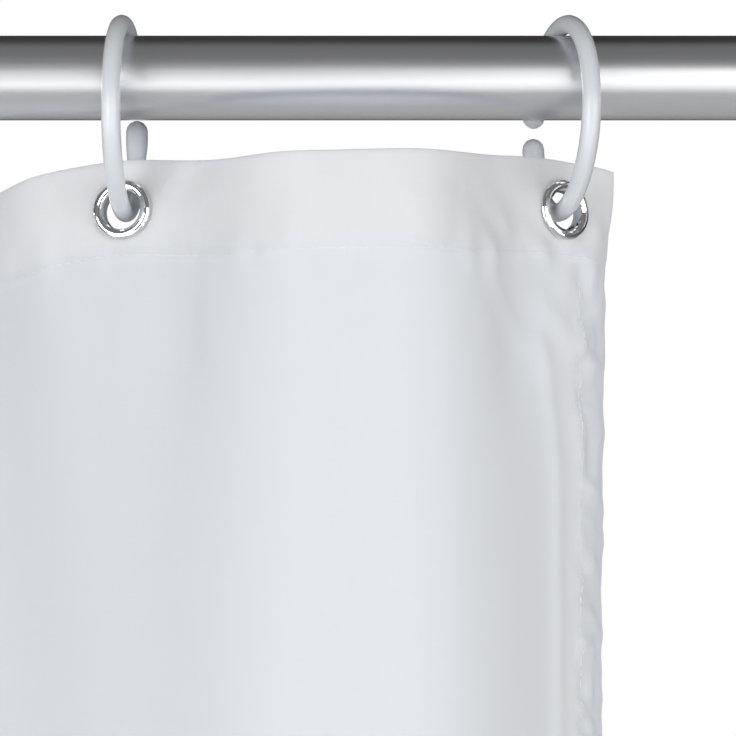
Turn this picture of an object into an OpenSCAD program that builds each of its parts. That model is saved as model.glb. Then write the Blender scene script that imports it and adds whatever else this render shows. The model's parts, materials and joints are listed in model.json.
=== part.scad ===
// Shower curtain: a hemmed cloth with chrome eyelets, hung by open plastic rings from a steel
// rod between two wall sockets. Millimetres, +Z up. The origin is the middle of the left
// socket's wall face, the rod runs along +X, and the curtain's front faces -Y.

/* [Rod] */
// Outer diameter of the rod
rod_d = 25; // [22:1:27]
// Wall thickness of the rod's tube
rod_wall = 1.2; // [0.8:0.1:2]
// Distance between the two walls
span = 1680; // [1640:10:2000]

/* [Wall sockets] */
// Diameter of the flange against the wall
flange_d = 60; // [56:1:70]
// Thickness of the flange
flange_t = 4; // [3:0.5:6]
// Outer diameter of the collar round the rod
collar_d = 33; // [31:1:36]
// Distance from the wall to the collar's end
collar_end = 26; // [22:1:32]
// Diameter of the circle that the wall screws sit on
screw_pcd = 46; // [44:1:48]
// Diameter of each wall screw hole
screw_hole_d = 4.5; // [4:0.5:5]

/* [Rings] */
// Inner diameter of a ring
ring_inner_d = 50; // [46:1:54]
// Diameter of the ring's wire
wire_d = 5.5; // [5:0.1:6]
// Diameter of the round end on each side of the mouth
ring_tip_d = 6.6; // [6:0.1:7]
// Clear width of the mouth
ring_mouth = 3.2; // [2:0.1:5]
// Distance between neighbouring rings, along the rod
ring_pitch = 129; // [125:1:132]
// Place of the leftmost ring, from the left wall
first_ring_x = 141; // [130:1:150]

/* [Cloth] */
// Finished height of the curtain
drop = 2000; // [1600:10:2200]
// Cloth between neighbouring eyelets, measured flat
eyelet_spacing = 160; // [150:1:165]
// Cloth from an outer eyelet's centre to the side edge
side_margin = 20; // [18:1:24]
// Height of the double header band
header_h = 30; // [28:1:40]
// Cloth from the top edge down to the eyelets' centres
eyelet_drop = 15; // [13:1:18]
// Width of the side hems
side_hem_w = 15; // [10:1:17]
// Height of the bottom hem
bottom_hem_h = 25; // [20:1:50]
// Height of the weight tape in the bottom hem
weight_tape_h = 12; // [6:1:18]

/* [Eyelets] */
// Diameter of the eyelet's hole
eyelet_hole_d = 11.5; // [11:0.1:12]
// Outer diameter of the eyelet's rim
eyelet_rim_d = 18; // [17:0.5:20]

/* [Hidden] */
RING_COUNT = 12;
NUMBERS = ["01", "02", "03", "04", "05", "06", "07", "08", "09", "10", "11", "12"];
$fn = 64;

// Small allowances
EPS = 0.01;
OVERCUT = 1;
ROD_FIT = 0.05;
SOCKET_FLOOR = 3;
ROD_END_GAP = 0.5;
RING_REST_GAP = 0.15;

// Grub screws
GRUB_D = 4;
GRUB_KEY_D = 2.3;
GRUB_KEY_DEPTH = 2;
GRUB_PROUD = 0.3;
GRUB_X = 15;
FLANGE_EDGE = 1;
WALL_SCREWS = 3;

// The ring hangs with its inside just clear of the rod's top
rod_r = rod_d / 2;
wire_r = wire_d / 2;
ring_r = ring_inner_d / 2 + wire_r;
ring_z = rod_r + RING_REST_GAP - ring_inner_d / 2;
ring_open_deg = (ring_mouth + ring_tip_d) / ring_r * 180 / PI;
TIP_SLEEVE_DEG = 14;
TIP_SLEEVE_STEP = 0.12;
TIP_OVERLAP_DEG = 2;

// The wire passes through the middle of each eyelet
eyelet_z = ring_z - ring_r;
top_z = eyelet_z + eyelet_drop;
header_z = top_z - header_h;
bottom_z = top_z - drop;

// Offsets of the cloth's layers from the header's middle surface: front is negative
PANEL = [-0.7, -0.3];
INTERLINING = [-0.2, 0.2];
FACING = [0.3, 0.7];
SIDE_HEM = [-0.2, 0.2];
WEIGHT_TAPE = [-0.2, 0.6];
BOTTOM_HEM = [0.7, 1.1];
INTERLINING_INSET = 1;
HEM_GAP = 1;

// Eyelet stamping, along its own axis: front is negative
CLOTH_GAP = 0.35;
RIM_H = 1.2;
BARREL_WALL = 0.55;
CURL_W = 1.45;
CURL_H = 0.55;
front_h = PANEL[0] - CLOTH_GAP;
back_h = FACING[1] + CLOTH_GAP;
WASHER_T = 0.55;
WASHER_FIT = 0.05;
WASHER_INSET = 0.4;
BARREL_CLEAR = 0.45;

// How the cloth waves between the rings
GENTLE_YAW = 17;
STEEP_YAW = 38;
FLAT_HALF = 10.5;
PEAK_SHARE = 0.68;
HANDLE_SHARE = 0.36;
WAVE_STEPS = 6;
MOST_DEPTH = 90;
DEPTH_TRIALS = 16;
GAP_DRIFT = 5;
DRIFT_TURN = 137;

// How the rings stand on the rod, by turns
RING_YAW_ODD = -4;
RING_YAW_EVEN = 15;
MOUTH_TILT_ODD = 16;
MOUTH_TILT_EVEN = 4;

STEEL = "silver";
PLASTIC = [0.86, 0.88, 0.89];
CLOTH = [0.93, 0.94, 0.96];

// ---- Where the rings hang and how the cloth waves ----

function is_even(i) = i % 2 == 0;

// The two rings nearest the right end keep the exact pitch, and so does the leftmost
function drift(i) = i > 1 && i < RING_COUNT - 1 ? GAP_DRIFT * sin(DRIFT_TURN * i) : 0;

function ring_x(i) = first_ring_x + (i - 1) * ring_pitch + drift(i);

function cloth_yaw(i) = is_even(i) ? STEEP_YAW : -GENTLE_YAW;

function heading(yaw) = [cos(yaw), sin(yaw)];

function bezier(p, t) =
    pow(1 - t, 3) * p[0] + 3 * t * pow(1 - t, 2) * p[1] + 3 * t * t * (1 - t) * p[2] + pow(t, 3) * p[3];

// A smooth run from point a, leaving along u, to point b, arriving along v, without point b
function run(a, u, b, v) =
    let (h = HANDLE_SHARE * norm(b - a))
    [for (k = [0 : WAVE_STEPS - 1]) bezier([a, a + h * u, b - h * v, b], k / WAVE_STEPS)];

// The cloth from eyelet i to the next, past the flat stretch at each: bulging to the front
// after an odd ring and to the back after an even one
function gap_points(i, depth) =
    let (
        u = heading(cloth_yaw(i)),
        v = heading(cloth_yaw(i + 1)),
        a = [ring_x(i), 0] + FLAT_HALF * u,
        b = [ring_x(i + 1), 0] - FLAT_HALF * v,
        share = is_even(i) ? 1 - PEAK_SHARE : PEAK_SHARE,
        side = is_even(i) ? 1 : -1,
        peak = [ring_x(i) + share * (ring_x(i + 1) - ring_x(i)), side * depth]
    )
    concat(run(a, u, peak, [1, 0]), run(peak, [1, 0], b, v), [b]);

function path_length(p, k = 1) = k >= len(p) ? 0 : norm(p[k] - p[k - 1]) + path_length(p, k + 1);

// The depth at which the cloth between two eyelets has its flat length, found by halving
function wave_depth(i, low = 0, high = MOST_DEPTH, trials = DEPTH_TRIALS) =
    let (middle = (low + high) / 2)
    trials == 0 ? middle
    : path_length(gap_points(i, middle)) > eyelet_spacing - 2 * FLAT_HALF
        ? wave_depth(i, low, middle, trials - 1)
        : wave_depth(i, middle, high, trials - 1);

function edge_point(i, distance) = [ring_x(i), 0] + distance * heading(cloth_yaw(i));

wave = concat(
    [edge_point(1, -side_margin)],
    [for (i = [1 : RING_COUNT - 1]) each gap_points(i, wave_depth(i))],
    [edge_point(RING_COUNT, side_margin)]
);

// ---- Turning a path into a layer of cloth ----

function back_normal(a, b) = let (t = (b - a) / norm(b - a)) [-t.y, t.x];

// The direction in which a corner moves so that both of its sides move by 1
function corner_normal(p, k) =
    k == 0 ? back_normal(p[0], p[1])
    : k == len(p) - 1 ? back_normal(p[k - 1], p[k])
    : let (m = back_normal(p[k - 1], p[k]), n = back_normal(p[k], p[k + 1])) (m + n) / (1 + m * n);

function offset_path(p, distance) = [for (k = [0 : len(p) - 1]) p[k] + distance * corner_normal(p, k)];

function backwards(p) = [for (k = [len(p) - 1 : -1 : 0]) p[k]];

module layer(path, offsets, low_z, high_z) {
    translate([0, 0, low_z])
        linear_extrude(high_z - low_z)
            polygon(concat(offset_path(path, offsets[0]), backwards(offset_path(path, offsets[1]))));
}

// Puts a part that lies along the ring's own axes at eyelet i, facing along the cloth's normal
module at_eyelet(i) {
    translate([ring_x(i), 0, eyelet_z])
        rotate([0, 0, cloth_yaw(i)])
            rotate([-90, 0, 0])
                children();
}

module eyelet_holes() {
    hole_r = eyelet_hole_d / 2 + BARREL_WALL + BARREL_CLEAR;
    for (i = [1 : RING_COUNT])
        at_eyelet(i)
            cylinder(r = hole_r, h = 6 * OVERCUT, center = true);
}

// ---- Rod and wall sockets ----

module rod_tube() {
    color(STEEL)
        translate([SOCKET_FLOOR + ROD_END_GAP, 0, 0])
            rotate([0, 90, 0])
                difference() {
                    length = span - 2 * (SOCKET_FLOOR + ROD_END_GAP);
                    cylinder(r = rod_r, h = length);
                    translate([0, 0, -OVERCUT])
                        cylinder(r = rod_r - rod_wall, h = length + 2 * OVERCUT);
                }
}

// The left socket, against the wall at x = 0
module wall_socket() {
    flange_r = flange_d / 2;
    collar_r = collar_d / 2;
    profile = [
        [0, 0], [flange_r, 0], [flange_r, flange_t - FLANGE_EDGE], [flange_r - FLANGE_EDGE, flange_t],
        [collar_r, flange_t], [collar_r, collar_end - FLANGE_EDGE], [collar_r - FLANGE_EDGE, collar_end],
        [0, collar_end]
    ];
    difference() {
        rotate([0, 90, 0])
            rotate_extrude()
                polygon(profile);
        translate([SOCKET_FLOOR, 0, 0])
            rotate([0, 90, 0])
                cylinder(r = rod_r + ROD_FIT, h = collar_end);
        for (k = [0 : WALL_SCREWS - 1])
            rotate([k * 360 / WALL_SCREWS, 0, 0])
                translate([-OVERCUT, 0, screw_pcd / 2])
                    rotate([0, 90, 0])
                        cylinder(d = screw_hole_d, h = flange_t + 2 * OVERCUT);
        translate([GRUB_X, 0, -collar_d])
            cylinder(d = GRUB_D, h = collar_d);
    }
}

// The left grub screw, up through the collar's underside against the rod
module grub_screw() {
    low_z = -collar_d / 2 - GRUB_PROUD;
    translate([GRUB_X, 0, low_z])
        difference() {
            cylinder(d = GRUB_D - 2 * ROD_FIT, h = -rod_r - ROD_FIT - low_z);
            translate([0, 0, -EPS])
                cylinder(d = GRUB_KEY_D, h = GRUB_KEY_DEPTH, $fn = 6);
        }
}

module at_right_wall() {
    translate([span, 0, 0])
        mirror([1, 0, 0])
            children();
}

module left_wall_socket() {
    color(STEEL) wall_socket();
}

module right_wall_socket() {
    color(STEEL) at_right_wall() wall_socket();
}

module left_grub_screw() {
    color(STEEL) grub_screw();
}

module right_grub_screw() {
    color(STEEL) at_right_wall() grub_screw();
}

// ---- Cloth ----

module curtain_panel() {
    color(CLOTH)
        difference() {
            layer(wave, PANEL, bottom_z, top_z);
            eyelet_holes();
        }
}

module header_facing() {
    color(CLOTH)
        difference() {
            layer(wave, FACING, header_z, top_z);
            eyelet_holes();
        }
}

module header_interlining() {
    color(CLOTH)
        difference() {
            layer(wave, INTERLINING, header_z + INTERLINING_INSET, top_z - INTERLINING_INSET);
            eyelet_holes();
        }
}

module side_hem(i, edge, inner) {
    path = [edge_point(i, min(edge, inner)), edge_point(i, max(edge, inner))];
    layer(path, SIDE_HEM, bottom_z + bottom_hem_h + HEM_GAP, header_z - HEM_GAP);
}

module left_side_hem() {
    color(CLOTH) side_hem(1, -side_margin, side_hem_w - side_margin);
}

module right_side_hem() {
    color(CLOTH) side_hem(RING_COUNT, side_margin, side_margin - side_hem_w);
}

module bottom_hem() {
    color(CLOTH) layer(wave, BOTTOM_HEM, bottom_z, bottom_z + bottom_hem_h);
}

module bottom_weight_tape() {
    color(CLOTH) layer(wave, WEIGHT_TAPE, bottom_z + HEM_GAP, bottom_z + HEM_GAP + weight_tape_h);
}

// ---- Rings ----

module ring_arc(start_deg, arc_deg, r) {
    rotate([0, 0, start_deg])
        rotate_extrude(angle = arc_deg)
            translate([ring_r, 0])
                circle(r = r);
}

// An open ring in the YZ plane, its mouth towards +Y and tilted up, with a thicker round tip
// on each end of the wire
module open_ring(mouth_tilt) {
    mouth_deg = ring_open_deg / 2;
    wire_start = mouth_deg + TIP_OVERLAP_DEG;
    rotate([mouth_tilt, 0, 0])
        rotate([90, 0, 90]) {
            ring_arc(wire_start, 360 - 2 * wire_start, wire_r);
            ring_arc(mouth_deg, TIP_SLEEVE_DEG, ring_tip_d / 2 - TIP_SLEEVE_STEP);
            ring_arc(-mouth_deg - TIP_SLEEVE_DEG, TIP_SLEEVE_DEG, ring_tip_d / 2 - TIP_SLEEVE_STEP);
            for (turn = [mouth_deg, -mouth_deg])
                rotate([0, 0, turn])
                    translate([ring_r, 0, 0])
                        sphere(d = ring_tip_d);
        }
}

module ring(i) {
    color(PLASTIC)
        translate([ring_x(i), 0, ring_z])
            rotate([0, 0, is_even(i) ? RING_YAW_EVEN : RING_YAW_ODD])
                open_ring(is_even(i) ? MOUTH_TILT_EVEN : MOUTH_TILT_ODD);
}

// ---- Eyelets ----

// Points of a half ellipse from radius a to radius b, standing out from height h by rise
function half_round(a, b, h, rise) =
    [for (t = [0 : 15 : 180]) [(a + b) / 2 - cos(t) * (b - a) / 2, h + rise * sin(t)]];

// The chrome stamping: domed rim in front, barrel through the cloth, curl over the washer
module eyelet(i) {
    hole_r = eyelet_hole_d / 2;
    barrel_r = hole_r + BARREL_WALL;
    curl_h = back_h + WASHER_T + WASHER_FIT;
    color(STEEL)
        at_eyelet(i)
            rotate_extrude()
                polygon(concat(
                    half_round(hole_r, eyelet_rim_d / 2, front_h, -RIM_H),
                    [[barrel_r, front_h], [barrel_r, curl_h]],
                    backwards(half_round(hole_r, hole_r + CURL_W, curl_h, CURL_H))
                ));
}

module eyelet_washer(i) {
    inner_r = eyelet_hole_d / 2 + BARREL_WALL + WASHER_FIT;
    outer_r = eyelet_rim_d / 2 - WASHER_INSET;
    color(STEEL)
        at_eyelet(i)
            translate([0, 0, back_h])
                difference() {
                    cylinder(r = outer_r, h = WASHER_T);
                    translate([0, 0, -OVERCUT])
                        cylinder(r = inner_r, h = WASHER_T + 2 * OVERCUT);
                }
}

// ---- The nodes ----

rod_tube();
left_wall_socket();
right_wall_socket();
left_grub_screw();
right_grub_screw();
curtain_panel();
header_facing();
header_interlining();
left_side_hem();
right_side_hem();
bottom_hem();
bottom_weight_tape();
for (i = [1 : RING_COUNT]) {
    number = NUMBERS[i - 1];
    ring(i);
    eyelet(i);
    eyelet_washer(i);
}
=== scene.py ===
"""A white shower curtain on its rod. The rod, sockets, screws and eyelets are the CAD's own; the
cloth, its hems and stitches, and the rings are made here. Metres, Z up, the front faces -Y."""

import bisect
import json
import math
from collections import namedtuple

import bpy
import numpy as np
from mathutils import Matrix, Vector


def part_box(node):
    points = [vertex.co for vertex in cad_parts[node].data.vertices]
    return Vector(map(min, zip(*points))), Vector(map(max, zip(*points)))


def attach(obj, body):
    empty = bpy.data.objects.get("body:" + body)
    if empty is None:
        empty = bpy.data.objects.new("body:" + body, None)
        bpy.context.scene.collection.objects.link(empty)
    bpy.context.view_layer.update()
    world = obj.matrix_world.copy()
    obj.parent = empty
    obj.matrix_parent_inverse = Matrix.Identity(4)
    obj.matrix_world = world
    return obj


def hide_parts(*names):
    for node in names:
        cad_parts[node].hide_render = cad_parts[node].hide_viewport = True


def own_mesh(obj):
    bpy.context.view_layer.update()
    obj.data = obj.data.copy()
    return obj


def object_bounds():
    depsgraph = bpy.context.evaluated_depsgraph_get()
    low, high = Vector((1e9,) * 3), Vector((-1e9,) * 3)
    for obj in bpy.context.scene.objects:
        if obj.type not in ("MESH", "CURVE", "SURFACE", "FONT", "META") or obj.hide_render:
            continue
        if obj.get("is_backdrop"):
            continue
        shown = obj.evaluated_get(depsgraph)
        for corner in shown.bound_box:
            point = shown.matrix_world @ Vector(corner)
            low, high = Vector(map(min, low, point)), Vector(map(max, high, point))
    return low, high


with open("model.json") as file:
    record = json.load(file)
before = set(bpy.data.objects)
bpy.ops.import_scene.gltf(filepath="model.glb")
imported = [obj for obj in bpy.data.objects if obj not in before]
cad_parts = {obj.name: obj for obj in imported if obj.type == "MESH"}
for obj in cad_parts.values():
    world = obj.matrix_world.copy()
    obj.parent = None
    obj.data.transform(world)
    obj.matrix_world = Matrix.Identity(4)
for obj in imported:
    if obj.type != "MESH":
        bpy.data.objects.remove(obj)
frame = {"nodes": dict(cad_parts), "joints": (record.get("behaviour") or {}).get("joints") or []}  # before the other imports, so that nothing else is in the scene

CAD_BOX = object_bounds()
MM = 0.001

# ---- Sizes that come from the frame ----

RING_COUNT = 12
NUMBERS = [f"{i:02d}" for i in range(1, RING_COUNT + 1)]
JOINTS = {joint["name"]: joint for joint in frame["joints"]}
EYELETS = [Vector(JOINTS[f"eyelet_turn_{number}"]["pos_m"]) for number in NUMBERS]

TOP_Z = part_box("curtain_panel")[1].z
BOTTOM_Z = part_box("curtain_panel")[0].z
DROP = TOP_Z - BOTTOM_Z
HEADER_H = TOP_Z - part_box("header_facing")[0].z
BOTTOM_HEM_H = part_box("bottom_hem")[1].z - BOTTOM_Z
TAPE_LOW, TAPE_HIGH = (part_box("bottom_weight_tape")[k].z - BOTTOM_Z for k in (0, 1))
EYELET_DROP = TOP_Z - EYELETS[0].z

# ---- The cloth, flat ----

EYELET_SPACING = 160 * MM
SIDE_MARGIN = 20 * MM
SIDE_HEM_W = 15 * MM
FLAT_W = (RING_COUNT - 1) * EYELET_SPACING + 2 * SIDE_MARGIN

# Distances behind the header's middle surface: front is negative
PANEL_BACK = -0.5 * MM
HEADER_FOLD_R = 0.5 * MM
SIDE_FOLD_R = 0.25 * MM
BOTTOM_FOLD_R = 0.7 * MM
CLOSED_BACK = -0.2 * MM
SIDE_CLOSED_BACK = CLOSED_BACK - 0.1 * MM
BOTTOM_CLOSED_BACK = CLOSED_BACK + 0.1 * MM
STITCH_FRONT = PANEL_BACK - 0.03 * MM
STITCH_REAR = CLOSED_BACK + 0.1 * MM
TAPE_FACES = (0, 0.4 * MM)

HEADER_SEAM_V = HEADER_H - 1.6 * MM
SIDE_SEAM_D = SIDE_HEM_W - 1.6 * MM
BOTTOM_SEAM_V = DROP - BOTTOM_HEM_H + 1.6 * MM
CLOTH_HOLE_R = 7.9 * MM
CLOSING_W = 3 * MM
POCKET_CLOSING = (TAPE_HIGH + 1 * MM, TAPE_HIGH + 10 * MM)
INTERLINING_INSET = 1.2 * MM
TAPE_INSET = 2 * MM
TAPE_LIFT = 0.3 * MM
HEADER_GAP = 0.3 * MM

# ---- How the cloth waves, level by level ----

# Each level: how far below the top, how far the cloth runs flat from an eyelet into a fold to the
# front and into one to the back, its turn at odd and even rings, where each bulge's crest starts
# and ends, how far the side edges curl back, and how much the folds wander from the rings above
Level = namedtuple("Level", "v front_flat back_flat odd_yaw even_yaw crest_start crest_end curl wander")
LEVELS = [
    Level(0.000, 10.5 * MM, 24 * MM, -16, 38, 0.42, 0.62, 0, 0),
    Level(0.036, 8.5 * MM, 19 * MM, -18, 41, 0.42, 0.62, 38, 0),
    Level(0.052, 7.5 * MM, 16 * MM, -20, 42, 0.42, 0.62, 26, 0),
    Level(0.140, 4 * MM, 7 * MM, -27, 48, 0.42, 0.61, 18, 1 * MM),
    Level(0.500, 1 * MM, 1 * MM, -42, 52, 0.43, 0.60, 18, 4 * MM),
    Level(1.200, 1 * MM, 1 * MM, -50, 52, 0.44, 0.58, 14, 7 * MM),
    Level(2.000, 1 * MM, 1 * MM, -52, 50, 0.46, 0.55, 16, 10 * MM),
]
LEVEL_V = np.array([level.v for level in LEVELS])
HANDLE_SHARE = 0.36
MOST_DEPTH = 90 * MM
DEPTH_TRIALS = 18
CURVE_POINTS = 40
TABLE_STEP = 0.5 * MM
CREST_RISE = 0.95
# How far the wandering turns from one ring to the next, in degrees, for each thing that wanders,
# and with height, in degrees a metre
YAW_WANDERS, X_WANDERS, Y_WANDERS = 71, 137, 223
WANDER_DRIFT = 40
YAW_PER_MM = 0.5
Y_SHARE = 0.25
# How far the cloth hangs down between two eyelets, and the share of this that is gone by some
# distance below the top, in metres
SAG = 6 * MM
SAG_SQUARENESS = 4
SAG_LOST = 0.6
SAG_LOST_BY = 1.2
CORNER_LIFT = 1.2 * MM


def smooth(t):
    """0 below 0, 1 above 1, and a smooth step between."""
    t = np.clip(t, 0, 1)
    return t * t * (3 - 2 * t)


def rise(x, low, high):
    """0 where x is under low, 1 over high, and a smooth step between."""
    return smooth((x - low) / (high - low))


def heading(yaw):
    """The level direction at that turn from +X, in degrees."""
    return np.stack([np.cos(np.radians(yaw)), np.sin(np.radians(yaw))], axis=-1)


def wander(level, i, turn):
    """A fixed, irregular share of the level's wandering, other for each ring and turn."""
    return level.wander * math.sin(math.radians(turn * (i + 1) + WANDER_DRIFT * level.v * (i % 5)))


def fold_yaw(level, i):
    """The cloth's turn at ring i, counted from 0, so that the odd rings are 0, 2, 4 and so on."""
    base = level.odd_yaw if i % 2 == 0 else level.even_yaw
    return base + wander(level, i, YAW_WANDERS) / MM * YAW_PER_MM


def fold_node(level, i):
    """Where the cloth that was at eyelet i passes, at that level."""
    x = EYELETS[i].x + wander(level, i, X_WANDERS)
    return np.array([x, Y_SHARE * wander(level, i, Y_WANDERS)])


def bezier(a, u, b, v):
    """A smooth run from point a, leaving along u, to point b, arriving along v."""
    h = HANDLE_SHARE * np.linalg.norm(b - a)
    t = np.linspace(0, 1, CURVE_POINTS)[:, None]
    ends = (1 - t) ** 3 * a + t**3 * b
    return ends + 3 * t * (1 - t) ** 2 * (a + h * u) + 3 * t * t * (1 - t) * (b - h * v)


def gap_line(level, i, depth):
    """The cloth from eyelet i to the next: to the front after an odd ring, else to the back."""
    first, last = fold_node(level, i), fold_node(level, i + 1)
    u, v = heading(fold_yaw(level, i)), heading(fold_yaw(level, i + 1))
    to_front = i % 2 == 0
    flat = level.front_flat if to_front else level.back_flat
    a, b = first + flat * u, last - flat * v
    shares = (level.crest_start, level.crest_end)
    if not to_front:
        depth = -depth
        shares = (1 - level.crest_end, 1 - level.crest_start)
    parts = (CREST_RISE, 1) if to_front else (1, CREST_RISE)
    start, end = (
        first + share * (last - first) - [0, part * depth] for share, part in zip(shares, parts)
    )
    along = (end - start) / np.linalg.norm(end - start)
    return np.vstack([first, bezier(a, u, start, along), bezier(end, along, b, v), last])


def run_lengths(line):
    """Distance along the line at each of its points."""
    return np.concatenate([[0], np.cumsum(np.linalg.norm(np.diff(line, axis=0), axis=1))])


def full_gap_line(level, i):
    """gap_line at the depth where its length is the cloth's own, found by halving."""
    low, high = 0, MOST_DEPTH
    for _ in range(DEPTH_TRIALS):
        depth = (low + high) / 2
        too_long = run_lengths(gap_line(level, i, depth))[-1] > EYELET_SPACING
        low, high = (low, depth) if too_long else (depth, high)
    return gap_line(level, i, depth)


def edge_line(level, i, outward):
    """The cloth from an outer eyelet to its side edge, curling back past the flat stretch."""
    s = np.linspace(0, SIDE_MARGIN, CURVE_POINTS)
    curl = level.curl * rise(s, level.front_flat, SIDE_MARGIN)
    steps = np.diff(s)[:, None] * outward * heading(fold_yaw(level, i) + outward * curl)[1:]
    return fold_node(level, i) + np.vstack([[0, 0], np.cumsum(steps, axis=0)])


def level_table(level):
    """The level's places (x, y) at every TABLE_STEP of the flat cloth, from its left edge."""
    flat, places = [], []
    left = edge_line(level, 0, -1)[::-1]
    flat.append(np.linspace(0, SIDE_MARGIN, CURVE_POINTS)[:-1])
    places.append(left[:-1])
    for i in range(RING_COUNT - 1):
        line = full_gap_line(level, i)
        lengths = run_lengths(line)
        start = SIDE_MARGIN + i * EYELET_SPACING
        flat.append((start + lengths / lengths[-1] * EYELET_SPACING)[:-1])
        places.append(line[:-1])
    flat.append(FLAT_W - SIDE_MARGIN + np.linspace(0, SIDE_MARGIN, CURVE_POINTS))
    places.append(edge_line(level, RING_COUNT - 1, 1))
    flat, places = np.concatenate(flat), np.vstack(places)
    stops = np.arange(0, FLAT_W + 2 * TABLE_STEP, TABLE_STEP)
    return np.stack([np.interp(stops, flat, places[:, k]) for k in (0, 1)], axis=-1)


TABLES = np.array([level_table(level) for level in LEVELS])
# How fast each level's places change with height, so that the cloth runs smoothly through all
SLOPES = np.zeros_like(TABLES)
SLOPES[1:-1] = (TABLES[2:] - TABLES[:-2]) / (LEVEL_V[2:] - LEVEL_V[:-2])[:, None, None]


def from_table(table, k, u):
    """Row k of the table at flat distance u, between its steps."""
    at = np.clip(u / TABLE_STEP, 0, table.shape[1] - 1.001)
    low = at.astype(int)
    part = (at - low)[:, None]
    return table[k, low] * (1 - part) + table[k, low + 1] * part


def middle(u, v):
    """The cloth's smooth middle surface (x, y), u from the left edge and v below the top."""
    k = np.clip(np.searchsorted(LEVEL_V, v, side="right") - 1, 0, len(LEVELS) - 2)
    span = (LEVEL_V[k + 1] - LEVEL_V[k])[:, None]
    t = (v - LEVEL_V[k])[:, None] / span
    here, below = from_table(TABLES, k, u), from_table(TABLES, k + 1, u)
    slope, next_slope = from_table(SLOPES, k, u), from_table(SLOPES, k + 1, u)
    return (
        (2 * t**3 - 3 * t**2 + 1) * here
        + (t**3 - 2 * t**2 + t) * span * slope
        + (3 * t**2 - 2 * t**3) * below
        + (t**3 - t**2) * span * next_slope
    )


def back_normal(u, v):
    """The level direction straight out of the cloth's back."""
    step = 2 * TABLE_STEP
    along = middle(np.minimum(u + step, FLAT_W), v) - middle(np.maximum(u - step, 0), v)
    along /= np.linalg.norm(along, axis=1)[:, None]
    return np.stack([-along[:, 1], along[:, 0]], axis=-1)


# ---- Puckers and wrinkles ----

NOISE_CELLS = 256

# Unevenness: its height, its size along two directions, and the seed of its noise
Bumps = namedtuple("Bumps", "height first_size second_size seed")
HEADER_BUMPS = Bumps(0.5 * MM, 14 * MM, 13 * MM, 2)
HEADER_PUCKERS = Bumps(0.75 * MM, 5.5 * MM, 16 * MM, 1)
LARGE_HEM_PUCKERS = Bumps(0.9 * MM, 9 * MM, 9 * MM, 3)
SMALL_HEM_PUCKERS = Bumps(1.3 * MM, 4.6 * MM, 4.5 * MM, 4)
SLANTING_WRINKLES = Bumps(1.3 * MM, 8 * MM, 34 * MM, 9)
BOTTOM_PUCKERS = Bumps(0.5 * MM, 9 * MM, 20 * MM, 5)
LONG_WAVES = Bumps(1.2 * MM, 55 * MM, 260 * MM, 6)
SHORT_WAVES = Bumps(0.35 * MM, 21 * MM, 70 * MM, 7)
EDGE_WAVE = Bumps(0.5 * MM, 16 * MM, 1, 8)

# Furrows: how far the middle stands back, or to the front if negative, and the half width
HEADER_GROOVE = (0.22 * MM, 1.3 * MM)
SIDE_RIDGE = (-0.3 * MM, 1.4 * MM)
BOTTOM_GROOVE = (0.15 * MM, 1.4 * MM)
CREASE = (-1.0 * MM, 3 * MM)

# Where an effect sets in or dies away, down the cloth (v) or in from its side edge (d)
HEADER_BUMPS_END_V = (HEADER_H, HEADER_H + 8 * MM)
SIDE_FOLD_D = (0, 8 * MM)
SIDE_PUCKERS_END_D = (11 * MM, 20 * MM)
SIDE_PUCKERS_V = (20 * MM, 45 * MM)
WRINKLES_END_D = (30 * MM, 80 * MM)
WAVES_V = (40 * MM, 200 * MM)
CREASE_BEND_V = (50 * MM, 95 * MM)
CREASE_V = (44 * MM, 56 * MM)
CREASE_END_V = (350 * MM, 850 * MM)
EDGE_WAVE_W = 14 * MM

HEADER_PUCKERS_REACH = 9 * MM
BOTTOM_PUCKERS_REACH = 10 * MM
WRINKLES_V, WRINKLES_REACH = 44 * MM, 24 * MM
# The shares of the side puckers that are left on the fold, and beside the header
FOLD_SHARE = 0.25
TOP_SHARE = 0.2
# The dent beside each eyelet, towards the fold to the front: its depth, and its place and half
# size across the cloth and down it
DENT_DEPTH = 3.2 * MM
DENT_ASIDE, DENT_HALF_W = 20 * MM, 10 * MM
DENT_V, DENT_HALF_H = 53 * MM, 20 * MM
# The crease's distance from the side edge, and how much further in it starts
CREASE_D = 24 * MM
CREASE_LEAN = 5 * MM


def noise(x, y, seed):
    """Smooth noise from -1 to 1, with one random value at each whole x and y."""
    values = np.random.default_rng(seed).uniform(-1, 1, (NOISE_CELLS, NOISE_CELLS))
    i, j = np.floor(x).astype(int), np.floor(y).astype(int)
    s, t = smooth(x - i), smooth(y - j)
    i0, j0, i1, j1 = (k % NOISE_CELLS for k in (i, j, i + 1, j + 1))
    low = values[i0, j0] * (1 - s) + values[i1, j0] * s
    high = values[i0, j1] * (1 - s) + values[i1, j1] * s
    return low * (1 - t) + high * t


def bumps(kind, x, y):
    """Unevenness of that kind, whose two sizes run along x and y."""
    return kind.height * noise(x / kind.first_size, y / kind.second_size, kind.seed)


def band(distance, width):
    """1 on a line, falling to 0 a few widths away."""
    return np.exp(-((distance / width) ** 2))


def furrow(kind, distance):
    """A furrow of that depth and half width, that far from its middle."""
    depth, half_width = kind
    return depth * band(distance, half_width)


def edge_distance(u):
    return np.minimum(u, FLAT_W - u)


def header_relief(u, v):
    """Soft unevenness of the stiff header, and the puckers and groove along its seam."""
    soft = (1 - rise(v, *HEADER_BUMPS_END_V)) * bumps(HEADER_BUMPS, u, v)
    from_seam = v - HEADER_SEAM_V
    puckers = band(from_seam, HEADER_PUCKERS_REACH) * bumps(HEADER_PUCKERS, u, v)
    return soft + puckers + furrow(HEADER_GROOVE, from_seam)


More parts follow.
